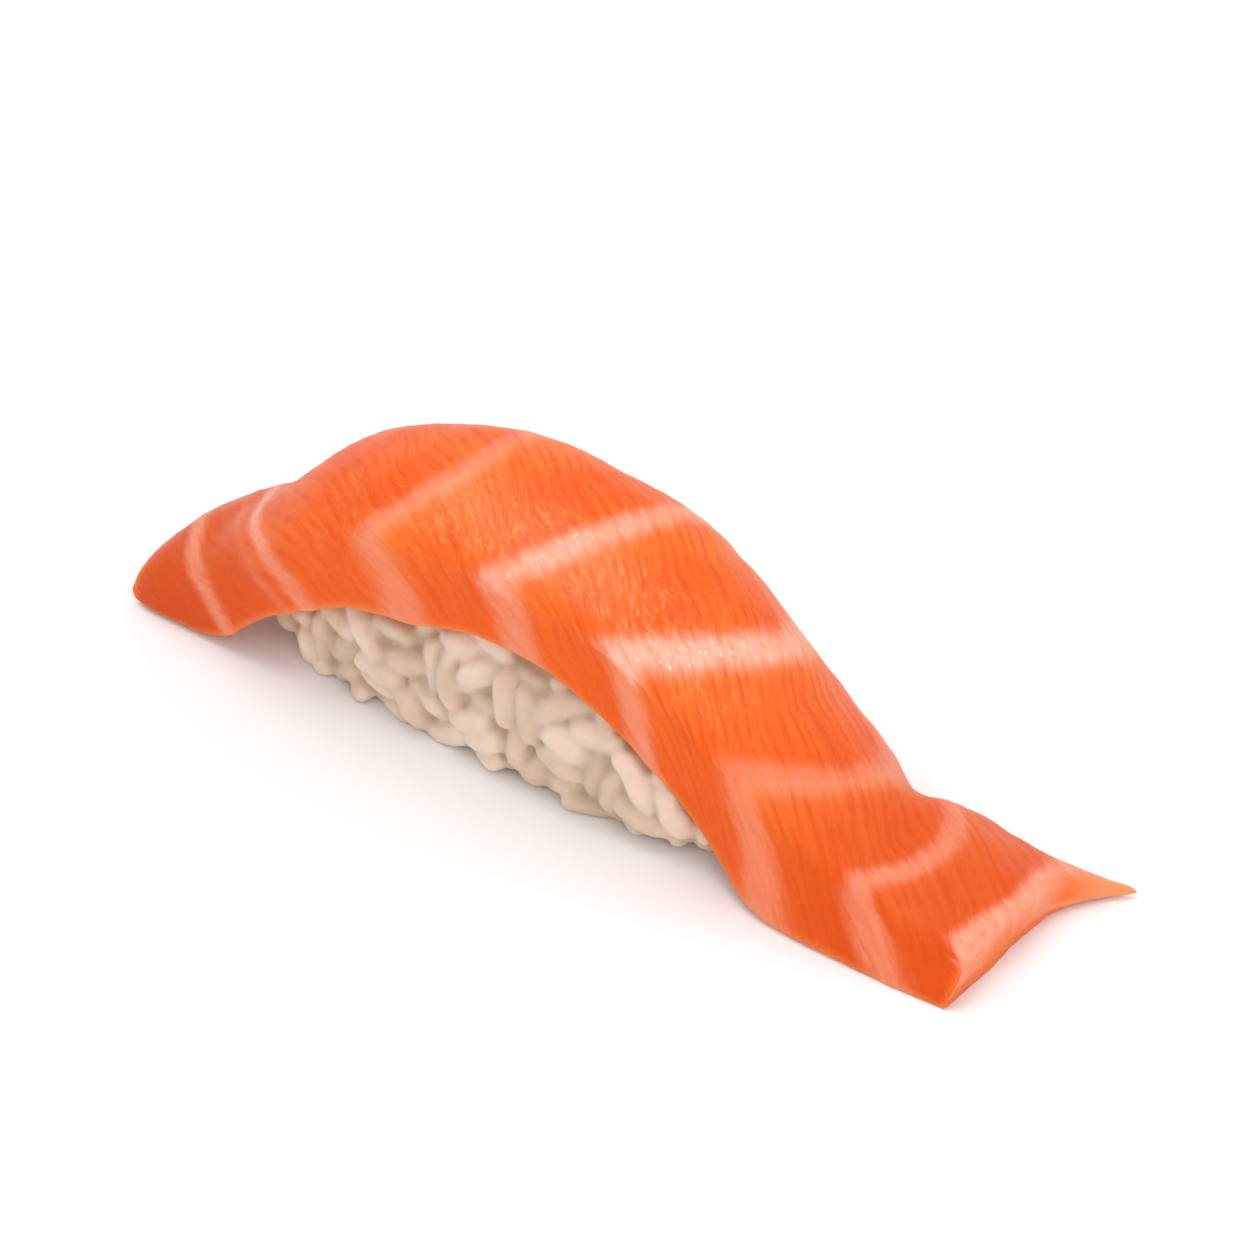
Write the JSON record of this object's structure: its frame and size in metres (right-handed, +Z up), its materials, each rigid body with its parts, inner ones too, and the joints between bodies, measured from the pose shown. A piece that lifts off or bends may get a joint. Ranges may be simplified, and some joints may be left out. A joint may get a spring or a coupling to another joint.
{
  "type": "salmon nigiri",
  "caption": "Salmon nigiri: a thick, fat-striped slice of raw salmon bent over an oblong bed of pressed rice, both its ends reaching down to the surface.",
  "frame": {"origin": "middle of its length and width, on the surface it rests on", "axes": "+X along the slice towards its flat-lying end, -Y the side with the thick cut edge and the rice in view, +Z up"},
  "size_m": [0.0897, 0.0262, 0.0237],
  "materials": {
    "salmon": "moist raw fish with paler fat stripes",
    "rice": "soft sheen of cooked short-grain rice"
  },
  "bodies": {
    "root": {"salmon_slice": "salmon", "rice_bed": "rice"}
  },
  "joints": []
}
